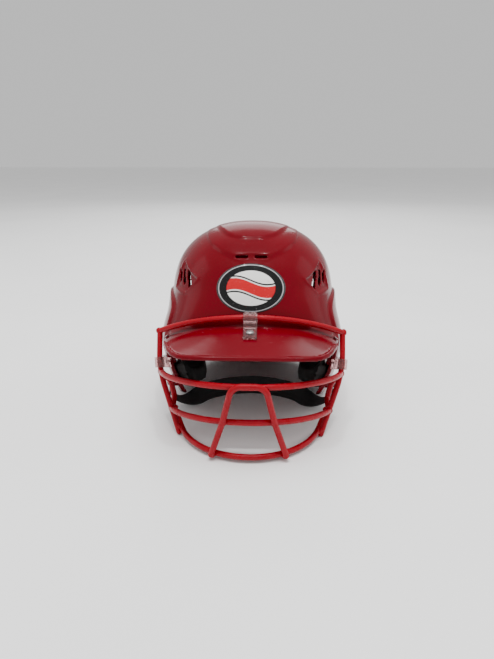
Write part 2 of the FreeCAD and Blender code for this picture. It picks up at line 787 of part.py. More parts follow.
def make_snap_caps():
    """Both caps on the strap: an eyelet round the stud and a closed domed cap."""
    solids = []
    bores = []
    for label, side in SIDES.items():
        out = Vector(side, 0, 0)
        seat = Vector(side * SNAP_SEAT_X, *SNAP)
        solids.append(cylinder(f"cap_eyelet_{label}", "dims.stud_radius + 1", "4.4", along(seat, out, 1.4)))
        solids.append(cylinder(f"cap_disc_{label}", "dims.snap_cap_radius", "3.6", along(seat, out, 3.9)))
        bores.append(cylinder(f"cap_bore_{label}", "dims.stud_radius + dims.snap_play", "6.8",
                              along(seat, out, 0)))
    return cut("snap_caps", fused("snap_caps_solid", solids), fused("snap_caps_bores", bores))


# ------------------------------------------------------------------ decal and rivets
def make_decal():
    """Oval sticker, a thin skin on the forehead."""
    thick = 0.5
    lift = 0.02
    ellipse = Part.Face(Part.Wire([Part.Ellipse(Vector(0, 0, 0), 39, 28).toShape()]))
    ellipse.rotate(Vector(0, 0, 0), Vector(1, 0, 0), 90)
    ellipse.translate(Vector(0, -60, 55))
    prism = ellipse.extrude(Vector(0, -120, 0))
    skin = form_solid(inset=-thick - lift).cut(form_solid(inset=-lift))
    return feature("front_decal", solid_of(skin.common(prism)))


def bill_normal(x, y):
    rise_x = bill_height(x + 1, y) - bill_height(x - 1, y)
    rise_y = bill_height(x, y + 1) - bill_height(x, y - 1)
    return Vector(-rise_x, -rise_y, 2).normalize()


RIVET_X = 98
RIVET_Y = -104
RIVET_UP = bill_normal(RIVET_X, RIVET_Y)
RIVET_SEAT = Vector(RIVET_X, RIVET_Y, bill_height(RIVET_X, RIVET_Y)) + RIVET_UP * 0.5


def make_temple_rivets():
    """Flat-headed rivet at each rear corner of the bill."""
    parts = []
    for label, side in SIDES.items():
        seat = sided(RIVET_SEAT, side)
        up = sided(RIVET_UP, side)
        parts.append(cylinder(f"rivet_head_{label}", "3", "1.4", along(seat, up, 0)))
        parts.append(cylinder(f"rivet_shank_{label}", "1.5", "8", along(seat, up, -7)))
    return fused("temple_rivets", parts)


# ------------------------------------------------------------------ assembly
def shell_ways():
    """Holes in the shell for the clip screws, the strap studs and the rivets."""
    ways = [Part.makeCylinder(dim("screw_shank_radius") + 0.1, 40, CLIP_SCREW_SEAT - BILL_NORMAL * 20,
                              BILL_NORMAL)]
    for side in SIDES.values():
        screw_out = sided(SIDE_OUT, side)
        ways.append(Part.makeCylinder(dim("screw_shank_radius") + 0.1, 40,
                                      sided(SIDE_SEAT, side) - screw_out * 15, screw_out))
        stud = Vector(side * (SNAP_SEAT_X - 15), *SNAP)
        ways.append(Part.makeCylinder(2.02, 40, stud, Vector(side, 0, 0)))
        rivet_up = sided(RIVET_UP, side)
        ways.append(Part.makeCylinder(1.52, 20, sided(RIVET_SEAT, side) - rivet_up * 10, rivet_up))
    return ways


def shell_seats():
    """Flat bosses on the flaps under the side clip screws and the strap studs."""
    seats = []
    for side in SIDES.values():
        side_out = sided(SIDE_OUT, side)
        side_start = sided(SIDE_SEAT, side) - side_out * SIDE_BOSS
        seats.append(Part.makeCylinder(7, SIDE_BOSS, side_start, side_out))
        snap_start = Vector(side * SNAP_INNER_X, *SNAP)
        seats.append(Part.makeCylinder(7, SNAP_BOSS, snap_start, Vector(side, 0, 0)))
    return seats


def make_fasteners():
    """Clip screws and their T-nuts: one at the bill, a pair on the flaps."""
    lift = dim("clip_wall") + 2 * CLIP_GAP
    grip = lift + WALL
    centre_head = CLIP_SCREW_SEAT + BILL_NORMAL * lift
    centre_nut = CLIP_SCREW_SEAT - BILL_NORMAL * (WALL + CLIP_GAP)
    pieces = [clip_screw("centre_clip_screw", centre_head, BILL_NORMAL, grip + CLIP_GAP),
              t_nut("centre_t_nut", centre_nut, BILL_NORMAL)]
    screws = []
    nuts = []
    for label, side in SIDES.items():
        out = sided(SIDE_OUT, side)
        seat = sided(SIDE_SEAT, side)
        head_lift = dim("clip_wall") + 0.5
        nut_depth = SIDE_BOSS + CLIP_GAP
        screws.append(clip_screw(label + "_side_screw", seat + out * head_lift, out,
                                 head_lift + nut_depth))
        nuts.append(t_nut(label + "_side_nut", seat - out * nut_depth, out))
    pieces.append(fused("side_clip_screws", screws))
    pieces.append(fused("side_t_nuts", nuts))
    return pieces


def all_pieces():
    pieces = [make_outer_shell(), make_decal()] + make_guard()
    pieces += [make_centre_clip()] + [make_side_clip(label, side) for label, side in SIDES.items()]
    pieces += make_fasteners()
    pieces += make_pads()
    pieces += [make_strap(), make_snap_studs(), make_snap_caps(), make_temple_rivets()]
    return pieces


def rest_placement(shapes):
    """Tilt onto the table, with the middle of the bounding box's floor at the origin."""
    tilt = Placement(Vector(0, 0, 0), Rotation(Vector(1, 0, 0), -dim("rest_tilt")))
    box = FreeCAD.BoundBox()
    for shape in shapes:
        for point in shape.tessellate(0.1)[0]:
            box.add(tilt.multVec(point))
    return Placement(Vector(0, -box.Center.y, -box.ZMin), Rotation()).multiply(tilt)


def check(pieces):
    """Stop if any object of the document failed or any piece is not a sound solid."""
    for obj in doc.Objects:
        if "Invalid" in obj.State or "Error" in obj.State:
            raise RuntimeError(f"{obj.Name} failed: {obj.State}")
    for piece in pieces:
        if piece.Shape.isNull() or not piece.Shape.isValid() or not piece.Shape.Solids:
            raise RuntimeError(f"{piece.Label} has no sound shape")


def main():
    pieces = all_pieces()
    doc.recompute()
    check(pieces)
    rest = rest_placement([piece.Shape for piece in pieces])
    for piece in pieces:
        piece.Placement = rest.multiply(piece.Placement)
    doc.recompute()
    check(pieces)
    os.makedirs("parts", exist_ok=True)
    for piece in pieces:
        piece.Shape.exportStep(f"parts/{piece.Label}.step")
    print("rest placement", rest)
    return pieces, rest


PIECES, REST = main()
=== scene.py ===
import json
import math
import bpy
import bmesh
import numpy as np
import openvdb
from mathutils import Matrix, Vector, noise
from mathutils.bvhtree import BVHTree


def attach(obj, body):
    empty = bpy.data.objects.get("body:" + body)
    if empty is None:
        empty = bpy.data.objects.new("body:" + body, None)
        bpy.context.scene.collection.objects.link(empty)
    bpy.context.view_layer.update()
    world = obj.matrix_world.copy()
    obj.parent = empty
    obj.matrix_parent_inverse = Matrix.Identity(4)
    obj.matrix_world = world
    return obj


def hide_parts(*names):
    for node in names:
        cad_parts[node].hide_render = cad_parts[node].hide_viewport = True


# A batting helmet.  Shapes are worked out in the worn frame (mm, origin in the middle of the head,
# -Y to the front) and placed in the row's frame, where the helmet stands tilted back on a table.

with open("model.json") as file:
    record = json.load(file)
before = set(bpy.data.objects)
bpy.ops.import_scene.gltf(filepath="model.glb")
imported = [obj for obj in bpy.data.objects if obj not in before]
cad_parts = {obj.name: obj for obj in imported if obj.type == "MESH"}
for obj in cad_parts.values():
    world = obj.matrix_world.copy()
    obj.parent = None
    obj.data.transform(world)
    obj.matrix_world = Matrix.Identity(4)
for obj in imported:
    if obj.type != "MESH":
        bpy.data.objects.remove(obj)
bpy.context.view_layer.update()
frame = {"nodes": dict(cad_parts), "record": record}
NODES = frame["nodes"]
RECORD = frame["record"]
MM = 0.001

# ------------------------------------------------------------------ worn frame to row frame
TILT = math.radians(15.5)
SNAP = (-66.0, -60.0)
PIVOT = [value / MM for value in RECORD["behaviour"]["joints"][0]["pos_m"]]
REST_Y = PIVOT[1] - (math.cos(TILT) * SNAP[0] + math.sin(TILT) * SNAP[1])
REST_Z = PIVOT[2] - (-math.sin(TILT) * SNAP[0] + math.cos(TILT) * SNAP[1])


def place(points):
    """Points of the worn frame in millimetres, as points of the row's frame in metres."""
    p = np.asarray(points, float).reshape(-1, 3)
    y = math.cos(TILT) * p[:, 1] + math.sin(TILT) * p[:, 2] + REST_Y
    z = -math.sin(TILT) * p[:, 1] + math.cos(TILT) * p[:, 2] + REST_Z
    return np.stack([p[:, 0], y, z], axis=1) * MM


def put(x, y, z):
    """One point of the worn frame in the row's frame."""
    return Vector(place([(x, y, z)])[0])


# ------------------------------------------------------------------ objects
def new_object(name, mesh, material):
    obj = bpy.data.objects.new(name, mesh)
    bpy.context.scene.collection.objects.link(obj)
    mesh.materials.clear()
    mesh.materials.append(material)
    return obj


def object_from(name, points, faces, material, smooth=True):
    mesh = bpy.data.meshes.new(name)
    mesh.from_pydata([tuple(p) for p in points], [], [tuple(f) for f in faces])
    mesh.validate()
    if smooth:
        mesh.shade_smooth()
    return new_object(name, mesh, material)


def settle(obj):
    """Replaces an object's mesh by what its modifiers make of it."""
    graph = bpy.context.evaluated_depsgraph_get()
    mesh = bpy.data.meshes.new_from_object(obj.evaluated_get(graph))
    obj.modifiers.clear()
    old = obj.data
    obj.data = mesh
    bpy.data.meshes.remove(old)
    mesh.shade_smooth()
    return obj


def copy_of(name, node, material):
    """A new object with the shape of a CAD node."""
    return new_object(name, NODES[node].data.copy(), material)


def stand_for(obj, body, slot, *nodes):
    """Ties a piece to its body, in place of the CAD nodes it shows; its slot argument is not used."""
    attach(obj, body)
    if nodes:
        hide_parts(*nodes)
    return obj


# ------------------------------------------------------------------ fields
def clamp(value, low=0.0, high=1.0):
    return np.clip(value, low, high)


def smooth(value):
    """Soft step from 0 to 1 while value goes from 0 to 1."""
    t = clamp(value)
    return t * t * (3 - 2 * t)


def ramp(distance, width):
    """1 inside an outline, 0 outside, with a soft step of a given width."""
    return smooth(0.5 - distance / width)


def soft_union(a, b, k):
    """Union of two distance fields with a fillet of about k."""
    h = clamp(0.5 + 0.5 * (b - a) / k)
    return b * (1 - h) + a * h - k * h * (1 - h)


def soft_both(a, b, k):
    return -soft_union(-a, -b, k)


def soft_cut(a, b, k):
    return soft_both(a, -b, k)


def curve(points, steps=8):
    """Points along a smooth curve through the given points."""
    pts = [np.array(p, float) for p in points]
    pts = [2 * pts[0] - pts[1]] + pts + [2 * pts[-1] - pts[-2]]
    out = []
    for a, b, c, d in zip(pts, pts[1:], pts[2:], pts[3:]):
        for i in range(steps):
            t = i / steps
            out.append(0.5 * (2 * b + (c - a) * t + (2 * a - 5 * b + 4 * c - d) * t * t
                              + (3 * b - a - 3 * c + d) * t ** 3))
    return [tuple(p) for p in out] + [tuple(pts[-2])]


def outline_distance(u, v, outline):
    """Distance to a closed outline, negative inside it."""
    nearest = np.full(np.broadcast(u, v).shape, 1e9)
    inside = np.zeros(nearest.shape, bool)
    for (ax, ay), (bx, by) in zip(outline, outline[1:] + outline[:1]):
        ex, ey = bx - ax, by - ay
        length = ex * ex + ey * ey
        if length < 1e-9:
            continue
        t = clamp(((u - ax) * ex + (v - ay) * ey) / length)
        nearest = np.minimum(nearest, (u - ax - t * ex) ** 2 + (v - ay - t * ey) ** 2)
        if ay != by:
            inside ^= ((ay > v) != (by > v)) & (u < ex * (v - ay) / ey + ax)
    return np.where(inside, -1.0, 1.0) * np.sqrt(nearest)


def rounded_box(px, py, pz, hx, hy, hz, radius):
    """Distance to a box of half sizes hx, hy, hz, with rounded edges."""
    qx = np.abs(px) - (hx - radius)
    qy = np.abs(py) - (hy - radius)
    qz = np.abs(pz) - (hz - radius)
    outside = np.sqrt(np.maximum(qx, 0) ** 2 + np.maximum(qy, 0) ** 2 + np.maximum(qz, 0) ** 2)
    return outside + np.minimum(np.maximum(qx, np.maximum(qy, qz)), 0) - radius


def grid_axes(low, high, step):
    """Sample positions along X, Y and Z."""
    return [np.arange(a, b + step, step) for a, b in zip(low, high)]


def mesh_of(field, low, step):
    """Quads on the zero level of a sampled field, in the field's own coordinates."""
    grid = openvdb.FloatGrid(4 * step)
    grid.copyFromArray(np.ascontiguousarray(field, dtype=np.float32))
    points, quads = grid.convertToQuads(isovalue=0.0)
    return points * step + np.array(low), quads


def field_object(name, field, low, step, material):
    """Object on the zero level of a field sampled in the worn frame."""
    points, quads = mesh_of(field, low, step)
    obj = object_from(name, place(points), quads, material)
    face_outwards(obj)
    return obj


def face_outwards(obj):
    bm = bmesh.new()
    bm.from_mesh(obj.data)
    if bm.calc_volume(signed=True) < 0:
        bmesh.ops.reverse_faces(bm, faces=bm.faces)
    bm.to_mesh(obj.data)
    bm.free()
    obj.data.shade_smooth()


# ------------------------------------------------------------------ the head-shaped form
TOP = 146.0
CENTRE_Y = 8.0
DOME_HALF_WIDTH = 107.0
FRONT_LENGTH = 136.0
REAR_LENGTH = 112.0
WALL = 3.5
PANEL_STEP = 3.5
CREST_STEP = 2.0
APEX = 0.02


def half_width(z):
    """Half width of the form at a height: rounded over at the top, flared at the ears."""
    crown = np.sqrt(np.maximum(1 - (np.maximum(z, 0) / TOP) ** 4, APEX))
    flare = 6 * smooth((35 - z) / 40)
    tuck = 15 * clamp((-5 - z) / 71, 0, 2) ** 1.5
    return DOME_HALF_WIDTH * crown + flare - tuck


def length_factor(z):
    return np.sqrt(np.maximum(1 - (np.maximum(z, 0) / TOP) ** 3, APEX))


def half_length(y, z):
    """Length of the form ahead of or behind its centre, tucked in at the nape."""
    rear = REAR_LENGTH * length_factor(z) - 15 * clamp(-z / 52, 0, 2) ** 1.3
    return np.where(y < CENTRE_Y, FRONT_LENGTH * length_factor(z), rear)


def squareness(z):
    """Power of the superellipse that a level section follows."""
    return 2.3 + 0.8 * smooth((60 - z) / 60) - 1.35 * clamp(-z / 76, 0, 1.1) ** 2.2


def form_distance(x, y, z, step):
    """Distance from the head form, negative inside it, on a regular grid."""
    power = squareness(z)
    section = (np.abs(x) / half_width(z)) ** power + (np.abs(y - CENTRE_Y) / half_length(y, z)) ** power
    crown = 1 - (np.maximum(z, 0) / TOP) ** 3.5
    value = section ** (2 / power) * np.maximum(crown, APEX) - crown
    slopes = np.gradient(value, step)
    steepness = np.sqrt(sum(s * s for s in slopes))
    return value / np.maximum(steepness, 1e-3)


def surface_x(y, z):
    """Side of the form at a given Y and height."""
    power = squareness(z)
    rest = 1 - (abs(y - CENTRE_Y) / half_length(y, z)) ** power
    return float(half_width(z) * rest ** (1 / power))


def surface_y(x, z):
    """Front of the form at a given X and height."""
    power = squareness(z)
    rest = np.maximum(1 - (np.abs(x) / half_width(z)) ** power, 0)
    return CENTRE_Y - half_length(-1.0, z) * rest ** (1 / power)


def side_normal(y, z):
    """Outward direction of the form's +X side."""
    step = 2
    along_y = Vector((surface_x(y + step, z) - surface_x(y - step, z), 2 * step, 0))
    along_z = Vector((surface_x(y, z + step) - surface_x(y, z - step), 0, 2 * step))
    return along_y.cross(along_z).normalized()


SIDE_SPOT = (-77.0, -31.5)
SIDE_OUT = side_normal(*SIDE_SPOT)
SIDE_SEAT = Vector((surface_x(*SIDE_SPOT), *SIDE_SPOT)) + SIDE_OUT * (PANEL_STEP + 0.5)
SNAP_SEAT_X = surface_x(*SNAP) + PANEL_STEP + 3.6

# ------------------------------------------------------------------ outlines of the shell
RIM = [(-220, 3), (-93, 3)] + curve([
    (-93, 3), (-88, -8), (-86.5, -40), (-80, -60), (-65, -74), (-40, -80), (-10, -76), (14, -66),
    (34, -50), (62, -43), (90, -48), (112, -53)]) + [(160, -53), (160, -140), (-220, -140)]
PANEL = curve([(-88, -2), (-86, 22), (-72, 40), (-30, 56), (10, 58), (40, 44), (52, 10), (50, -60)])
PANEL += [(50, -110), (-120, -110), (-120, -2)]
CREST_LOWER = [(0, -111), (16, -112), (39, -99), (53, -75), (57, -30), (51, 40), (34, 92)]
CREST_UPPER = [(0, -95.5), (14, -94), (31, -82), (43, -50), (46, -10), (40, 40), (26, 78)]
VENT_RECESS = [(-101, 66), (-69, 88), (-64, 58), (-92, 51)]
EAR_HOLE = (-14.0, -34.0)
BILL_FRONT = 185.0
BILL_DROP = 17.0
BILL_SLOPE = math.tan(math.radians(30))


def mirrored_outline(right_edge):
    """A closed outline from the front of its right-hand edge to the rear, and its mirror image."""
    right = curve(right_edge)
    return right + [(-x, y) for x, y in reversed(right)]


def bill_outline():
    side = [(104, -80), (98, -128), (92, -150), (86.5, -165), (78, -177), (62, 1.6 - BILL_FRONT)]
    front = [(0, -BILL_FRONT)]
    return curve(side + front + [(-x, y) for x, y in reversed(side)])


def bill_height(x, y):
    """Top of the bill: steep in the middle, nearly level along its sides."""
    side = (x / 100) ** 2
    return -BILL_DROP + (BILL_SLOPE * (1 - side) + 0.16 * side) * (y + BILL_FRONT)


# ------------------------------------------------------------------ shell
def slot_distance(x, y, z, centre_y, centre_z, length, width, lean):
    """Slanted slot through the wall; lean tips its upper end to the rear, in degrees."""
    at_x = surface_x(centre_y, centre_z)
    out = Vector((at_x, centre_y - CENTRE_Y, 0)).normalized()
    along_side = (x - at_x) * -out.y + (y - centre_y) * out.x
    up = z - centre_z
    tip = math.radians(lean)
    along = clamp(along_side * math.sin(tip) + up * math.cos(tip), -length / 2 + width / 2,
                  length / 2 - width / 2)
    gap = np.sqrt((along_side - along * math.sin(tip)) ** 2 + (up - along * math.cos(tip)) ** 2)
    depth = np.abs((x - at_x) * out.x + (y - centre_y) * out.y) - 30
    return np.maximum(gap - width / 2, depth)


def boss_distance(x, y, z, seat, out, length, radius):
    """Round boss that ends at its seat and reaches back into the wall."""
    t = (x - seat[0]) * out[0] + (y - seat[1]) * out[1] + (z - seat[2]) * out[2]
    square = (x - seat[0]) ** 2 + (y - seat[1]) ** 2 + (z - seat[2]) ** 2 - t * t
    return np.maximum(np.sqrt(np.maximum(square, 0)) - radius, np.abs(t + length / 2) - length / 2)


def bill_distance(x, y, z, form):
    """The bill: a curved plate with a bead along its front edge, outside the head form."""
    plan = outline_distance(x[:, :, 0], y[:, :, 0], bill_outline())[:, :, None]
    height = bill_height(x, y)
    step = 1.0
    tilt_x = (bill_height(x + step, y) - bill_height(x - step, y)) / (2 * step)
    tilt_y = (bill_height(x, y + step) - bill_height(x, y - step)) / (2 * step)
    lean = np.sqrt(1 + tilt_x ** 2 + tilt_y ** 2)
    front_part = smooth((-128 - y) / 8)
    bead = 1.3 * smooth((plan + 4.6) / 1.6) * front_part
    top = (z - height) / lean - bead
    bottom = (height - WALL - z) / lean
    slab = soft_both(soft_both(top, bottom, 1.0), plan + 0 * z, 1.6)
    return np.maximum(slab, -(form + 1.5))


def shell_field(x, y, z, step):
    """The +X half of the shell, with what is raised on it, joined to it and cut out of it."""
    form = form_distance(x, y, z, step)
    side_view = (y[0], z[0])
    plan_view = (x[:, :, 0], y[:, :, 0])
    panel = outline_distance(*side_view, PANEL)[None]
    rim = outline_distance(*side_view, RIM)[None]
    raised = PANEL_STEP * ramp(panel, 2.4)
    raised = raised + 0.9 * (1 - smooth((rim - 2.8) / 1.4))
    above = smooth((z - 45) / 10) * (1 - 0.7 * smooth((y + 72) / 55))
    for edge in (CREST_LOWER, CREST_UPPER):
        crest = outline_distance(*plan_view, mirrored_outline(edge))[:, :, None]
        raised = raised + CREST_STEP * ramp(crest, 2.0) * above
    recess = outline_distance(*side_view, VENT_RECESS)[None]
    raised = raised - 1.9 * ramp(recess, 3.0) * (x > 30)
    raised = raised + 0.7 * np.exp(-((recess - 2.0) / 1.5) ** 2) * (x > 30) * (y < 0)
    outer = form - raised
    inner = form + WALL - PANEL_STEP * ramp(panel + 3, 3.0)
    solid = soft_both(outer, -inner, 0.8)
    solid = soft_cut(solid, rim + 0 * x, 1.8)
    solid = soft_union(solid, bill_distance(x, y, z, form), 6.0)
    solid = soft_union(solid, boss_distance(x, y, z, SIDE_SEAT, SIDE_OUT, 9, 7), 1.5)
    solid = soft_union(solid, boss_distance(x, y, z, (SNAP_SEAT_X, *SNAP), (1, 0, 0), 9, 7), 1.5)
    cuts = rounded_box(x - 11, y + 108, z - 90.6, 7, 20, 1.5, 1.2)
    cuts = np.minimum(cuts, rounded_box(x - 12, y - 92, z - 84, 8, 20, 2.3, 1.6))
    for i in range(3):
        cuts = np.minimum(cuts, slot_distance(x, y, z, -90 + 11 * i, 66 + 3 * i, 24 - 4 * i, 3.6, 22))
        cuts = np.minimum(cuts, slot_distance(x, y, z, 62 + 11 * i, 66 - 3 * i, 26 - 4 * i, 4.5, -22))
    ear = (np.hypot((y - EAR_HOLE[0]) / 17, (z - EAR_HOLE[1]) / 11) - 1) * 13
    cuts = np.minimum(cuts, np.maximum(ear, 60 - x))
    return soft_cut(solid, cuts, 1.4)


def make_shell(material):
    step = 1.6
    low = (0.0, -190.0, -86.0)
    axes = grid_axes(low, (116.0, 126.0, 154.0), step)
    x, y, z = np.meshgrid(*axes, indexing="ij")
    half = shell_field(x, y, z, step)
    whole = np.concatenate([half[:0:-1], half])
    start = (-axes[0][-1], low[1], low[2])
    obj = field_object("helmet_shell", whole, start, step, material)
    stand_for(obj, "helmet", "shell", "outer_shell")


# ------------------------------------------------------------------ materials
def material(name):
    """An empty node material and its Principled shader."""
    mat = bpy.data.materials.new(name)
    mat.use_nodes = True
    return mat, mat.node_tree.nodes["Principled BSDF"]


def node(mat, kind, **settings):
    """A new shader node; each setting goes to the input or the attribute of that name."""
    made = mat.node_tree.nodes.new(kind)
    for key, value in settings.items():
        if key in made.inputs:
            made.inputs[key].default_value = value
        else:
            setattr(made, key, value)
    return made


def link(mat, source, target):
    mat.node_tree.links.new(source, target)


def object_coordinates(mat):
    return node(mat, "ShaderNodeTexCoord").outputs["Object"]


def noise_of(mat, where, scale, detail=3.0, roughness=0.5):
    texture = node(mat, "ShaderNodeTexNoise", Scale=scale, Detail=detail, Roughness=roughness)
    link(mat, where, texture.inputs["Vector"])
    return texture.outputs["Fac"]


def spread(mat, value, low, high, to_low, to_high):
    """Maps part of a value's range onto another range, clamped."""
    made = node(mat, "ShaderNodeMapRange")
    for key, number in (("From Min", low), ("From Max", high), ("To Min", to_low), ("To Max", to_high)):
        made.inputs[key].default_value = number
    link(mat, value, made.inputs["Value"])
    return made.outputs["Result"]


def blend_colours(mat, factor, first, second):
    """Mix of two colours, each an RGB tuple or a socket."""
    mix = node(mat, "ShaderNodeMix", data_type="RGBA")
    for socket, colour in ((mix.inputs[6], first), (mix.inputs[7], second)):
        if isinstance(colour, tuple):
            socket.default_value = (*colour, 1)
        else:
            link(mat, colour, socket)
    link(mat, factor, mix.inputs[0])
    return mix.outputs[2]


def maths(mat, operation, *values):
    """A Math node of numbers and sockets."""
    made = node(mat, "ShaderNodeMath", operation=operation)
    for socket, value in zip(made.inputs, values):
        if isinstance(value, (int, float)):
            socket.default_value = value
        else:
            link(mat, value, socket)
    return made.outputs[0]


def bump(mat, shader, height, distance, strength=1.0):
    made = node(mat, "ShaderNodeBump", Distance=distance, Strength=strength)
    link(mat, height, made.inputs["Height"])
    link(mat, made.outputs["Normal"], shader.inputs["Normal"])


def shell_material():
    """Glossy moulded plastic: deep red with fine speckle, faint scuffs and a little flow marking."""
    mat, shader = material("shell_red")
    where = object_coordinates(mat)
    broad = spread(mat, noise_of(mat, where, 14, 2), 0.3, 0.7, 0, 1)
    colour = blend_colours(mat, broad, (0.110, 0.0004, 0.0046), (0.134, 0.0008, 0.0062))
    flecks = spread(mat, noise_of(mat, where, 900, 1), 0.68, 0.76, 0, 0.3)
    colour = blend_colours(mat, flecks, colour, (0.17, 0.010, 0.012))
    stretched = node(mat, "ShaderNodeMapping")
    stretched.inputs["Scale"].default_value = (60, 60, 900)
    stretched.inputs["Rotation"].default_value = (0.5, 0.3, 0.8)
    link(mat, where, stretched.inputs["Vector"])
    scratches = node(mat, "ShaderNodeTexNoise", Scale=1.0, Detail=2.0)
    link(mat, stretched.outputs["Vector"], scratches.inputs["Vector"])
    patches = spread(mat, noise_of(mat, where, 22, 2), 0.55, 0.68, 0, 1)
    marks = maths(mat, "MULTIPLY", spread(mat, scratches.outputs["Fac"], 0.66, 0.74, 0, 1), patches)
    colour = blend_colours(mat, maths(mat, "MULTIPLY", marks, 0.5), colour, (0.26, 0.09, 0.09))
    link(mat, colour, shader.inputs["Base Color"])
    haze = spread(mat, noise_of(mat, where, 45, 4), 0.35, 0.7, 0.16, 0.24)
    link(mat, maths(mat, "MAXIMUM", haze, maths(mat, "MULTIPLY", marks, 0.5)), shader.inputs["Roughness"])
    shader.inputs["Specular IOR Level"].default_value = 0.11
    shader.inputs["Coat Weight"].default_value = 0.04
    shader.inputs["Coat Roughness"].default_value = 0.06
    bump(mat, shader, noise_of(mat, where, 170, 2), 0.00012, 0.35)
    return mat


def guard_material():
    """Thick glossy dip coating: slight runs, dust and rubbed spots."""
    mat, shader = material("guard_coating")
    where = object_coordinates(mat)
    tone = spread(mat, noise_of(mat, where, 30, 3), 0.3, 0.7, 0, 1)
    colour = blend_colours(mat, tone, (0.25, 0.0006, 0.007), (0.31, 0.0012, 0.010))
    rubs = maths(mat, "MULTIPLY", spread(mat, noise_of(mat, where, 420, 3), 0.62, 0.7, 0, 1),
                 spread(mat, noise_of(mat, where, 26, 2), 0.56, 0.66, 0, 1))
    colour = blend_colours(mat, rubs, colour, (0.17, 0.008, 0.010))
    link(mat, colour, shader.inputs["Base Color"])
    link(mat, spread(mat, noise_of(mat, where, 80, 3), 0.3, 0.7, 0.22, 0.38), shader.inputs["Roughness"])
    shader.inputs["Specular IOR Level"].default_value = 0.16
    shader.inputs["Coat Weight"].default_value = 0.04
    shader.inputs["Coat Roughness"].default_value = 0.12
    bump(mat, shader, noise_of(mat, where, 120, 2), 0.0002, 0.25)
    return mat


def clip_material():
    """Clear plastic, scratched, with a pink-red tint painted in for the red shell seen through it."""
    mat, shader = material("clear_clip")
    where = object_coordinates(mat)
    tone = spread(mat, noise_of(mat, where, 120, 3), 0.35, 0.65, 0, 1)
    # The pink-red base colour is painted see-through light: the red of the shell behind the clip, not a
    # tint of the plastic itself.
    colour = blend_colours(mat, tone, (0.66, 0.34, 0.34), (0.80, 0.50, 0.50))
    link(mat, colour, shader.inputs["Base Color"])
    shader.inputs["Transmission Weight"].default_value = 0.95
    shader.inputs["IOR"].default_value = 1.46
    link(mat, spread(mat, noise_of(mat, where, 300, 4), 0.3, 0.7, 0.06, 0.2), shader.inputs["Roughness"])
    bump(mat, shader, noise_of(mat, where, 300, 2), 0.0001, 0.12)
    return mat


def steel_material():
    mat, shader = material("screw_steel")
    where = object_coordinates(mat)
    tone = spread(mat, noise_of(mat, where, 900, 3), 0.3, 0.7, 0, 1)
    link(mat, blend_colours(mat, tone, (0.42, 0.41, 0.40), (0.66, 0.65, 0.64)), shader.inputs["Base Color"])
    shader.inputs["Metallic"].default_value = 1.0
    link(mat, spread(mat, noise_of(mat, where, 1500, 2), 0.3, 0.7, 0.22, 0.42), shader.inputs["Roughness"])
    bump(mat, shader, noise_of(mat, where, 1600, 2), 0.0001, 0.3)
    return mat


def foam_material():
    """Closed-cell padding with a fine matt skin."""
    mat, shader = material("black_foam")
    where = object_coordinates(mat)
    tone = spread(mat, noise_of(mat, where, 60, 4), 0.3, 0.7, 0, 1)
    colour = blend_colours(mat, tone, (0.008, 0.0078, 0.0075), (0.022, 0.021, 0.020))
    dust = maths(mat, "MULTIPLY", spread(mat, noise_of(mat, where, 1100, 2), 0.68, 0.76, 0, 0.5),
                 spread(mat, noise_of(mat, where, 18, 2), 0.45, 0.7, 0, 1))
    link(mat, blend_colours(mat, dust, colour, (0.16, 0.15, 0.14)), shader.inputs["Base Color"])
    link(mat, spread(mat, noise_of(mat, where, 150, 3), 0.3, 0.7, 0.5, 0.68), shader.inputs["Roughness"])
    cells = node(mat, "ShaderNodeTexVoronoi", Scale=1400.0)
    link(mat, where, cells.inputs["Vector"])
    bump(mat, shader, cells.outputs["Distance"], 0.0002, 0.5)
    return mat


def webbing_material():
    """Woven strap: a herringbone of small ribs from the strap's own length and width coordinates, with
    painted shade in the hollows between the ribs.
    """
    mat, shader = material("black_webbing")
    place_on = node(mat, "ShaderNodeTexCoord").outputs["UV"]
    split = node(mat, "ShaderNodeSeparateXYZ")
    link(mat, place_on, split.inputs[0])
    across, along = split.outputs[0], split.outputs[1]
    fold = maths(mat, "PINGPONG", across, 0.0032)
    slanted = maths(mat, "ADD", along, fold)
    ribs = maths(mat, "SINE", maths(mat, "MULTIPLY", slanted, 2 * math.pi / 0.0013))
    columns = maths(mat, "SINE", maths(mat, "MULTIPLY", across, 2 * math.pi / 0.0016))
    height = maths(mat, "ADD", spread(mat, ribs, -1, 1, 0, 1), spread(mat, columns, -1, 1, 0, 0.6))
    where = object_coordinates(mat)
    fuzz = noise_of(mat, where, 2500, 3)
    height = maths(mat, "ADD", height, maths(mat, "MULTIPLY", fuzz, 0.5))
    # Colour follows the weave's height: painted shade in the hollows between the ribs, lighter on their
    # tops.
    tone = spread(mat, height, 0.3, 1.9, 0, 1)
    colour = blend_colours(mat, tone, (0.0015, 0.0015, 0.0018), (0.011, 0.011, 0.012))
    link(mat, colour, shader.inputs["Base Color"])
    shader.inputs["Roughness"].default_value = 0.72
    shader.inputs["Sheen Weight"].default_value = 0.06
    shader.inputs["Sheen Roughness"].default_value = 0.5
    bump(mat, shader, height, 0.00035, 0.8)
    return mat


def cap_material(name, colour, smoothest):
    """Small moulded plastic parts: colour with slight grain."""
    mat, shader = material(name)
    where = object_coordinates(mat)
    tone = spread(mat, noise_of(mat, where, 300, 3), 0.3, 0.7, 0, 1)
    darker = tuple(0.75 * c for c in colour)
    link(mat, blend_colours(mat, tone, darker, colour), shader.inputs["Base Color"])
    grain = noise_of(mat, where, 700, 2)
    link(mat, spread(mat, grain, 0.3, 0.7, smoothest, smoothest + 0.14), shader.inputs["Roughness"])
    bump(mat, shader, noise_of(mat, where, 900, 2), 0.0001, 0.3)
    return mat


DECAL_HALF_WIDTH = 39.0
DECAL_HALF_HEIGHT = 28.0


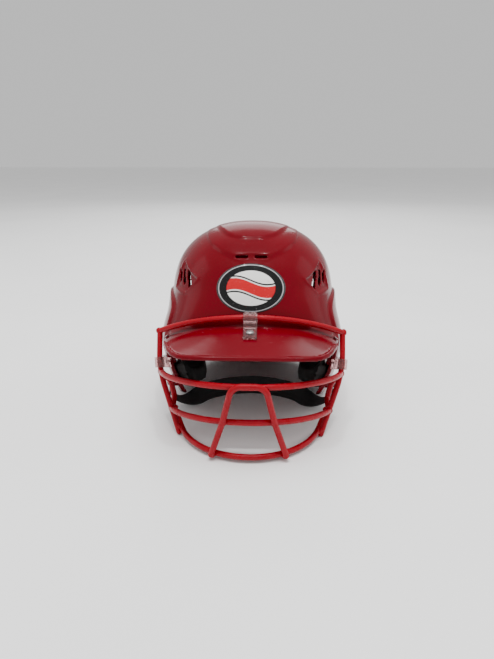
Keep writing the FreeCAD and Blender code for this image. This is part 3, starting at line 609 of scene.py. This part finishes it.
def decal_material():
    """Printed oval sticker: black border, pale keylines and a generic striped middle."""
    mat, shader = material("oval_sticker")
    place_on = node(mat, "ShaderNodeTexCoord").outputs["UV"]
    split = node(mat, "ShaderNodeSeparateXYZ")
    link(mat, place_on, split.inputs[0])
    u, v = split.outputs[0], split.outputs[1]
    radius = maths(mat, "SQRT", maths(mat, "ADD", maths(mat, "POWER", u, 2.0), maths(mat, "POWER", v, 2.0)))

    def inside(value, limit, soft=0.012):
        return spread(mat, value, limit - soft, limit + soft, 1, 0)

    wave = maths(mat, "SINE", maths(mat, "MULTIPLY", u, 3.4))
    bent = maths(mat, "ADD", v, maths(mat, "MULTIPLY", wave, 0.17))
    stripe = maths(mat, "ABSOLUTE", bent)
    white = (0.80, 0.79, 0.77)
    black = (0.004, 0.004, 0.0045)
    red = (0.50, 0.006, 0.012)
    middle = blend_colours(mat, inside(stripe, 0.34), white, black)
    middle = blend_colours(mat, inside(stripe, 0.275), middle, white)
    middle = blend_colours(mat, inside(stripe, 0.225), middle, red)
    colour = blend_colours(mat, inside(radius, 0.70), black, middle)
    ring = inside(maths(mat, "ABSOLUTE", maths(mat, "SUBTRACT", radius, 0.93)), 0.014)
    colour = blend_colours(mat, ring, colour, (0.42, 0.42, 0.43))
    edge = inside(maths(mat, "ABSOLUTE", maths(mat, "SUBTRACT", radius, 0.985)), 0.016)
    colour = blend_colours(mat, edge, colour, (0.05, 0.05, 0.052))
    wear = spread(mat, noise_of(mat, object_coordinates(mat), 380, 4), 0.66, 0.74, 0, 0.35)
    colour = blend_colours(mat, wear, colour, (0.30, 0.29, 0.29))
    link(mat, colour, shader.inputs["Base Color"])
    link(mat, spread(mat, noise_of(mat, object_coordinates(mat), 90, 3), 0.3, 0.7, 0.12, 0.26),
         shader.inputs["Roughness"])
    shader.inputs["Specular IOR Level"].default_value = 0.3
    shader.inputs["Coat Weight"].default_value = 0.1
    shader.inputs["Coat Roughness"].default_value = 0.08
    return mat


# ------------------------------------------------------------------ decal
def make_decal(look):
    """Thin oval skin that follows the forehead, with its edge rolled down onto the shell."""
    rings = 26
    spokes = 96
    centre_z = 55.0
    points, places = [], []
    for i in range(rings + 1):
        share = i / rings
        for j in range(spokes if i else 1):
            angle = 2 * math.pi * j / spokes
            u = share * math.cos(angle)
            v = share * math.sin(angle)
            x = DECAL_HALF_WIDTH * u
            z = centre_z + DECAL_HALF_HEIGHT * v
            y = float(surface_y(x, z))
            slope_x = float(surface_y(x + 1, z) - surface_y(x - 1, z)) / 2
            slope_z = float(surface_y(x, z + 1) - surface_y(x, z - 1)) / 2
            out = Vector((slope_x, -1, slope_z)).normalized()
            lift = 0.45 if i < rings else 0.05
            points.append(Vector((x, y, z)) + out * lift)
            places.append((u, v))
    faces = [(0, 1 + j, 1 + (j + 1) % spokes) for j in range(spokes)]
    for i in range(1, rings):
        a, b = 1 + (i - 1) * spokes, 1 + i * spokes
        for j in range(spokes):
            k = (j + 1) % spokes
            faces.append((a + j, b + j, b + k, a + k))
    obj = object_from("oval_sticker", place(points), faces, look)
    layer = obj.data.uv_layers.new(name="UVMap")
    for loop in obj.data.loops:
        layer.data[loop.index].uv = places[loop.vertex_index]
    solid = obj.modifiers.new("thickness", "SOLIDIFY")
    solid.thickness = 0.35 * MM
    solid.offset = -1
    settle(obj)
    stand_for(obj, "helmet", "decal", "front_decal")


# ------------------------------------------------------------------ guard
BEAD_RADIUS = 0.0040  # metres, as the next two
WELD_GAP = 0.0018
WELD_SPREAD = 0.02


def make_guard(look):
    """The wires keep their CAD shapes; coating gathers in a bead at every weld except where the nose arch
    meets the eye bar.
    """
    wires = ["top_bar", "eye_bar", "mid_bar", "chin_bar", "nose_arch", "left_upright", "right_upright",
             "left_side_loop", "right_side_loop"]
    shapes = {}
    for name in wires:
        NODES[name].data.materials.clear()
        NODES[name].data.materials.append(look)
        corners = [v.co.copy() for v in NODES[name].data.vertices]
        faces = [p.vertices for p in NODES[name].data.polygons]
        shapes[name] = (BVHTree.FromPolygons(corners, faces), corners)
    spots = []
    for first, second in RECORD["behaviour"]["press_fits"]:
        if (first, second) == ("nose_arch", "eye_bar"):
            continue
        tree = shapes[second][0]
        near = [v for v in shapes[first][1] if tree.find_nearest(v, WELD_GAP)[0] is not None]
        while near:
            seed = near[0]
            group = [v for v in near if (v - seed).length < WELD_SPREAD]
            near = [v for v in near if (v - seed).length >= WELD_SPREAD]
            spots.append(sum(group, Vector()) / len(group))
    merged = []
    for spot in spots:
        spot.z = max(spot.z, BEAD_RADIUS * 1.2)
        if all((spot - other).length > BEAD_RADIUS for other in merged):
            merged.append(spot)
    bm = bmesh.new()
    for index, spot in enumerate(merged):
        made = bmesh.ops.create_icosphere(bm, subdivisions=4, radius=1.0)
        for vertex in made["verts"]:
            direction = vertex.co.normalized()
            lump = 1 + 0.10 * noise.noise(direction * 1.3 + Vector((index * 3.1, 0, 0)))
            vertex.co = spot + direction * BEAD_RADIUS * lump
    mesh = bpy.data.meshes.new("guard_weld_beads")
    bm.to_mesh(mesh)
    bm.free()
    mesh.shade_smooth()
    stand_for(new_object("guard_weld_beads", mesh, look), "helmet", "guard")


# ------------------------------------------------------------------ clips and screws
CLIP_WALL = 2.6
CLIP_HALF_WIDTH = 7.5
LOOP_RADIUS = 5.9
BAR_WAY_RADIUS = 3.45
SCREW_WAY_RADIUS = 2.1
BAR_Y, BAR_Z = -135.0, 22.5
CLIP_SCREW_Y = -147.0
BILL_TURN = math.radians(30)


def centre_clip_field(x, y, z):
    """Tongue on the bill and loop round the top bar; t runs up the bill, n stands off it."""
    dy = y - CLIP_SCREW_Y
    dz = z - bill_height(0.0, CLIP_SCREW_Y)
    t = dy * math.cos(BILL_TURN) + dz * math.sin(BILL_TURN)
    n = -dy * math.sin(BILL_TURN) + dz * math.cos(BILL_TURN)
    round_bar = np.hypot(y - BAR_Y, z - BAR_Z)
    solid = rounded_box(x, t - 3, n - 1.4, CLIP_HALF_WIDTH, 13, CLIP_WALL / 2, 0.6)
    loop = soft_both(round_bar - LOOP_RADIUS, np.abs(x) - CLIP_HALF_WIDTH, 0.6)
    solid = soft_union(solid, loop, 1.2)
    solid = soft_union(solid, rounded_box(x, y + 137.5, z - 18.2, CLIP_HALF_WIDTH, 3.5, 5.5, 0.6), 1.2)
    for rib in (5.6, 7.8, 10.0):
        solid = soft_union(solid, rounded_box(x, t - rib, n - 2.7, 6.2, 0.55, 0.75, 0.4), 0.4)
    solid = soft_union(solid, rounded_box(x, t + 9.2, n - 1.9, CLIP_HALF_WIDTH, 0.8, 1.5, 0.6), 0.5)
    lean = math.radians(28)
    up = -(y - BAR_Y) * math.sin(lean) + (z - BAR_Z) * math.cos(lean)
    side = (y - BAR_Y) * math.cos(lean) + (z - BAR_Z) * math.sin(lean)
    recess = rounded_box(np.abs(x) - 3.6, side, up - 6.0, 2.5, 3.0, 1.3, 0.4)
    solid = soft_cut(solid, recess, 0.5)
    solid = soft_cut(solid, round_bar - BAR_WAY_RADIUS, 0.4)
    return np.maximum(solid, SCREW_WAY_RADIUS - np.hypot(x, t))


def make_centre_clip(look):
    step = 0.35
    low = (-8.4, -158.0, -3.0)
    grid = np.meshgrid(*grid_axes(low, (8.4, -127.0, 30.0), step), indexing="ij")
    obj = field_object("bar_clip_centre", centre_clip_field(*grid), low, step, look)
    stand_for(obj, "helmet", "clip", "centre_clip")


def softened(name, source, look, voxel, rounds):
    """Copy of a moulded CAD part with its edges rounded over."""
    obj = copy_of(name, source, look)
    remesh = obj.modifiers.new("even", "REMESH")
    remesh.mode = "VOXEL"
    remesh.voxel_size = voxel
    soften = obj.modifiers.new("soften", "SMOOTH")
    soften.factor = 0.5
    soften.iterations = rounds
    return settle(obj)


def screw_field(x, y, z):
    """Domed head on z = 0 with a cross recess, and a plain shank below."""
    reach = np.hypot(x, y)
    head = soft_both(np.sqrt(x * x + y * y + (z + 4.9) ** 2) - 7.1, reach - 4.0, 0.5)
    head = soft_both(head, -z, 0.2)
    cross = np.minimum(rounded_box(x, y, z - 2.0, 2.3, 0.45, 1.4, 0.15),
                       rounded_box(x, y, z - 2.0, 0.45, 2.3, 1.4, 0.15))
    head = soft_cut(head, cross, 0.2)
    return np.minimum(head, np.maximum(reach - 1.9, np.abs(z + 4) - 4.5))


def make_screws(look):
    step = 0.16
    low = (-4.6, -4.6, -9.0)
    grid = np.meshgrid(*grid_axes(low, (4.6, 4.6, 2.9), step), indexing="ij")
    points, quads = mesh_of(screw_field(*grid), low, step)
    bill_out = Vector((0, -math.sin(BILL_TURN), math.cos(BILL_TURN)))
    middle_seat = Vector((0, CLIP_SCREW_Y, bill_height(0.0, CLIP_SCREW_Y))) + bill_out * (CLIP_WALL + 0.2)
    right_seat = SIDE_SEAT + SIDE_OUT * (CLIP_WALL + 0.5)
    left_seat = Vector((-right_seat.x, right_seat.y, right_seat.z))
    left_out = Vector((-SIDE_OUT.x, SIDE_OUT.y, SIDE_OUT.z))
    groups = {
        "clip_screw_centre": ([(middle_seat, bill_out)], "centre_clip_screw"),
        "clip_screws_side": ([(right_seat, SIDE_OUT), (left_seat, left_out)], "side_clip_screws"),
    }
    for name, (spots, replaced) in groups.items():
        all_points, all_faces = [], []
        for seat, out in spots:
            turn = Vector((0, 0, 1)).rotation_difference(out).to_matrix()
            first = len(all_points)
            all_points += [turn @ Vector(p) + seat for p in points]
            all_faces += [[first + i for i in quad] for quad in quads]
        obj = object_from(name, place(all_points), all_faces, look)
        face_outwards(obj)
        stand_for(obj, "helmet", "hardware", replaced)


def make_snap_caps(look):
    """Domed press-stud caps: each is a turned shape, closed on itself round the stud's hole."""
    profile = [(6.8, 0), (6.8, 2.55), (1.4, 2.55), (1.4, 3.5), (3.9, 3.5), (3.9, 6.1), (4.1, 6.45),
               (4.9, 6.5), (5.6, 6.3), (6.1, 5.8), (6.3, 5.3), (6.2, 4.9), (6.5, 4.4), (7.1, 3.2),
               (7.4, 1.7), (7.5, 0)]
    turns = 40
    points, faces = [], []
    for side in (-1, 1):
        first = len(points)
        for along, radius in profile:
            for j in range(turns):
                angle = 2 * math.pi * j / turns
                points.append((side * (SNAP_SEAT_X + along), SNAP[0] + radius * math.cos(angle),
                               SNAP[1] + radius * math.sin(angle)))
        for i in range(len(profile) - 1):
            for j in range(turns):
                k = (j + 1) % turns
                a, b = first + i * turns, first + (i + 1) * turns
                faces.append((a + j, b + j, b + k, a + k))
    obj = object_from("strap_snap_caps", place(points), faces, look)
    bm = bmesh.new()
    bm.from_mesh(obj.data)
    bmesh.ops.remove_doubles(bm, verts=bm.verts, dist=1e-6)
    bmesh.ops.recalc_face_normals(bm, faces=bm.faces)
    bm.to_mesh(obj.data)
    bm.free()
    obj.data.shade_smooth()
    return stand_for(obj, "strap", "snap", "snap_caps")


# ------------------------------------------------------------------ pads
PADS = {"front_pad": 4.0, "rear_pad": 4.0, "crown_pad": 4.0, "left_temple_pad": 4.0,
        "right_temple_pad": 4.0, "left_jaw_pad": 3.5, "right_jaw_pad": 3.5}  # voxel sizes
PAD_SHRINK = 0.6 * MM
PAD_SWELL = 1.6 * MM
PAD_FRAMES = 20


def make_pads(look):
    """Each pad is remeshed a little small, blown up as cloth, capped and smoothed."""
    scene = bpy.context.scene
    pads = []
    for name, voxel in PADS.items():
        obj = softened(name + "_cushion", name, look, voxel * MM, 3)
        normals = [v.normal.copy() for v in obj.data.vertices]
        for vertex, normal in zip(obj.data.vertices, normals):
            vertex.co -= normal * PAD_SHRINK
        pads.append((obj, name, [v.co.copy() for v in obj.data.vertices]))
    for obj, _, _ in pads:
        cloth = obj.modifiers.new("Cloth", "CLOTH")
        cloth.settings.use_pressure = True
        cloth.settings.uniform_pressure_force = 4
        cloth.settings.effector_weights.gravity = 0
        cloth.point_cache.frame_end = PAD_FRAMES
    for step in range(1, PAD_FRAMES + 1):
        scene.frame_set(step)
    graph = bpy.context.evaluated_depsgraph_get()
    for obj, _, rest in pads:
        swollen = [v.co.copy() for v in obj.evaluated_get(graph).data.vertices]
        obj.modifiers.clear()
        for vertex, start, end in zip(obj.data.vertices, rest, swollen):
            move = end - start
            if move.length > PAD_SWELL:
                move *= PAD_SWELL / move.length
            vertex.co = start + move
    scene.frame_set(1)
    for obj, name, _ in pads:
        obj.modifiers.new("fine", "SUBSURF").levels = 1
        settle(obj)
        stand_for(obj, "helmet", "padding", name)


# ------------------------------------------------------------------ chin strap
STRAP_WIDTH = 25.0
STRAP_THICK = 1.8
WIRE_RADIUS = 3.3


def table_height(y):
    """Height of the table under the helmet at a given Y, in the worn frame."""
    foot_y, foot_z = -118.5, -110.5
    return foot_z - WIRE_RADIUS / math.cos(TILT) + math.tan(TILT) * (y - foot_y)


def strap_sections():
    """Centre, width direction, thickness direction and width along the +X half, from the snap."""
    tab_x = SNAP_SEAT_X + 2.7
    y, z = SNAP
    up = Vector((0, -math.sin(TILT), math.cos(TILT)))
    down = Vector((0, 0, -1))
    side_on = Vector((1, 0, 0))
    lengthwise = Vector((0, 1, 0))

    def on_table(x, y):
        return Vector((x, y, table_height(y))) + up * (STRAP_WIDTH / 2 + 0.4)

    return [
        (Vector((tab_x, y, z + 6)), lengthwise, side_on, 9),
        (Vector((tab_x, y, z + 3)), lengthwise, side_on, 12),
        (Vector((tab_x, y, z - 8)), lengthwise, side_on, 13),
        (Vector((tab_x - 1, y + 1, z - 17)), lengthwise, Vector((1, 0, -0.3)), 17),
        (Vector((tab_x - 8, y + 4, z - 24)), Vector((0.1, 1, 0.1)), Vector((0.5, 0, -1)), 21),
        (Vector((tab_x - 19, y + 11, z - 27)), Vector((0.4, 1, 0.4)), Vector((0, 0.2, -1)), 24),
        (on_table(68, -44) + down * 1.5, Vector((0.3, 0.3, 1)), Vector((0.5, 0.8, -0.5)), 25),
        (on_table(56, -33), up, Vector((0.5, 0.85, 0)), 25),
        (on_table(30, -20), up, Vector((0.35, 0.9, 0)), 25),
        (on_table(0, -14), up, lengthwise, 25),
    ]


def line_of(points):
    """Points along the NURBS line of a list of control points."""
    data = bpy.data.curves.new("line", "CURVE")
    data.dimensions = "3D"
    data.resolution_u = 14
    spline = data.splines.new("NURBS")
    spline.points.add(len(points) - 1)
    for target, point in zip(spline.points, points):
        target.co = (*point, 1)
    spline.order_u = 3
    spline.use_endpoint_u = True
    obj = bpy.data.objects.new("line", data)
    mesh = bpy.data.meshes.new_from_object(obj)
    result = [v.co.copy() for v in mesh.vertices]
    bpy.data.objects.remove(obj)
    bpy.data.curves.remove(data)
    bpy.data.meshes.remove(mesh)
    return result


def make_strap(look):
    """Flat webbing along the sections and their mirror image, with its UV in metres."""
    right = strap_sections()

    def flip(v):
        return Vector((-v.x, v.y, v.z))

    left = [(flip(c), flip(w), flip(t), size) for c, w, t, size in reversed(right[:-1])]
    sections = right + left
    middles, rims, tops = [], [], []
    for centre, width_way, thick_way, width in sections:
        across = width_way.normalized()
        thick = (thick_way - across * thick_way.dot(across)).normalized()
        middles.append(put(*centre))
        rims.append(put(*(centre + across * (width / 2))))
        tops.append(put(*(centre + thick)))
    centres, edges, faces_at = line_of(middles), line_of(rims), line_of(tops)
    # Cross-section: the selvedges are a little thicker than the weave between them.
    ring = [(-1, -1), (-0.97, -1), (-0.9, -0.8), (-0.5, -0.8), (0, -0.8), (0.5, -0.8), (0.9, -0.8),
            (0.97, -1), (1, -1)]
    ring += [(s, -t) for s, t in reversed(ring)]
    points, places = [], []
    length = 0.0
    half_thick = STRAP_THICK / 2 * MM
    for i, centre in enumerate(centres):
        if i:
            length += (centre - centres[i - 1]).length
        across = edges[i] - centre
        thick = faces_at[i] - centre
        thick = (thick - across * (thick.dot(across) / across.length_squared)).normalized()
        for s, t in ring:
            points.append(centre + across * s + thick * (t * half_thick))
            places.append((s * across.length, length))
    faces = []
    count = len(ring)
    for i in range(len(centres) - 1):
        a, b = i * count, (i + 1) * count
        for j in range(count):
            k = (j + 1) % count
            faces.append((a + j, a + k, b + k, b + j))
    faces.append(tuple(reversed(range(count))))
    faces.append(tuple(range((len(centres) - 1) * count, len(centres) * count)))
    obj = object_from("chin_strap_webbing", points, faces, look, smooth=False)
    layer = obj.data.uv_layers.new(name="UVMap")
    for loop in obj.data.loops:
        layer.data[loop.index].uv = places[loop.vertex_index]
    face_outwards(obj)
    obj.modifiers.new("fine", "SUBSURF").levels = 1
    settle(obj)
    stand_for(obj, "strap", "strap", "chin_strap")


# ------------------------------------------------------------------ stage, lights and camera
def make_stage():
    """Pale floor and a plain pale studio all round."""
    mat, shader = material("pale_floor")
    tone = spread(mat, noise_of(mat, object_coordinates(mat), 3, 3), 0.3, 0.7, 0, 1)
    colour = blend_colours(mat, tone, (0.86, 0.86, 0.86), (0.90, 0.90, 0.895))
    link(mat, colour, shader.inputs["Base Color"])
    shader.inputs["Roughness"].default_value = 0.6
    size = 12.0
    corners = [(-size, -size, 0), (size, -size, 0), (size, size, 0), (-size, size, 0)]
    floor = object_from("floor", corners, [(0, 1, 2, 3)], mat, smooth=False)
    world = bpy.data.worlds.new("studio")
    world.use_nodes = True
    world.node_tree.nodes["Background"].inputs["Color"].default_value = (1, 1, 1, 1)
    world.node_tree.nodes["Background"].inputs["Strength"].default_value = 0.7
    bpy.context.scene.world = world


def add_light(name, spot, target, size, power, height=None):
    """Rectangular soft light at a spot, turned to its target."""
    data = bpy.data.lights.new(name, "AREA")
    data.shape = "RECTANGLE"
    data.size = size
    data.size_y = height or size
    data.energy = power
    light = bpy.data.objects.new(name, data)
    light.location = spot
    light.rotation_euler = (Vector(target) - Vector(spot)).to_track_quat("-Z", "Y").to_euler()
    bpy.context.scene.collection.objects.link(light)
    return light


def make_lights(middle):
    key = add_light("key_above", (0.15, -0.1, 2.4), middle, 2.2, 75)
    key.visible_glossy = False
    add_light("left_side", (-1.7, 0.2, 0.8), middle, 0.8, 3.5, height=1.4)
    add_light("right_side", (1.7, 0.3, 0.8), middle, 0.8, 3.5, height=1.4)
    add_light("behind", (0.0, 2.2, 1.4), middle, 1.4, 16)
    for x in (-0.28, 0.3):
        add_light(f"ceiling_lamp_{'left' if x < 0 else 'right'}", (x, -0.35, 2.2), middle, 0.06, 9)


VIEW_TURN = math.radians(1.75)
VIEW_RISE = math.radians(19.5)
VIEW_DISTANCE = 0.68
VIEW_LENS = 27.04
VIEW_SHIFT = -0.0075


def make_camera():
    """Camera at the front, a little above; returns the point it looks at."""
    data = bpy.data.cameras.new("camera")
    data.lens = VIEW_LENS
    data.sensor_width = 36
    data.dof.use_dof = False
    camera = bpy.data.objects.new("camera", data)
    aim = put(0, 0, 0) + Vector((VIEW_SHIFT, 0, 0))
    away = Vector((math.sin(VIEW_TURN) * math.cos(VIEW_RISE), -math.cos(VIEW_TURN) * math.cos(VIEW_RISE),
                   math.sin(VIEW_RISE)))
    camera.location = aim + away * VIEW_DISTANCE
    camera.rotation_euler = (-away).to_track_quat("-Z", "Y").to_euler()
    bpy.context.scene.collection.objects.link(camera)
    bpy.context.scene.camera = camera
    return aim


# ------------------------------------------------------------------ the whole
def dress(look, *names):
    """Gives CAD nodes that keep their shape a finished material."""
    for name in names:
        NODES[name].data.materials.clear()
        NODES[name].data.materials.append(look)


def main():
    middle = make_camera()
    caps = make_snap_caps(cap_material("snap_black", (0.03, 0.03, 0.032), 0.25))
    make_strap(webbing_material())
    make_shell(shell_material())
    make_decal(decal_material())
    make_guard(guard_material())
    clear = clip_material()
    make_centre_clip(clear)
    for side in ("left", "right"):
        obj = softened(f"bar_clip_{side}", f"{side}_side_clip", clear, 0.5 * MM, 3)
        stand_for(obj, "helmet", "clip", f"{side}_side_clip")
    steel = steel_material()
    make_screws(steel)
    dress(steel, "centre_t_nut", "side_t_nuts", "snap_studs")
    dress(cap_material("rivet_red", (0.16, 0.006, 0.01), 0.2), "temple_rivets")
    make_pads(foam_material())
    make_stage()
    make_lights(middle)


main()
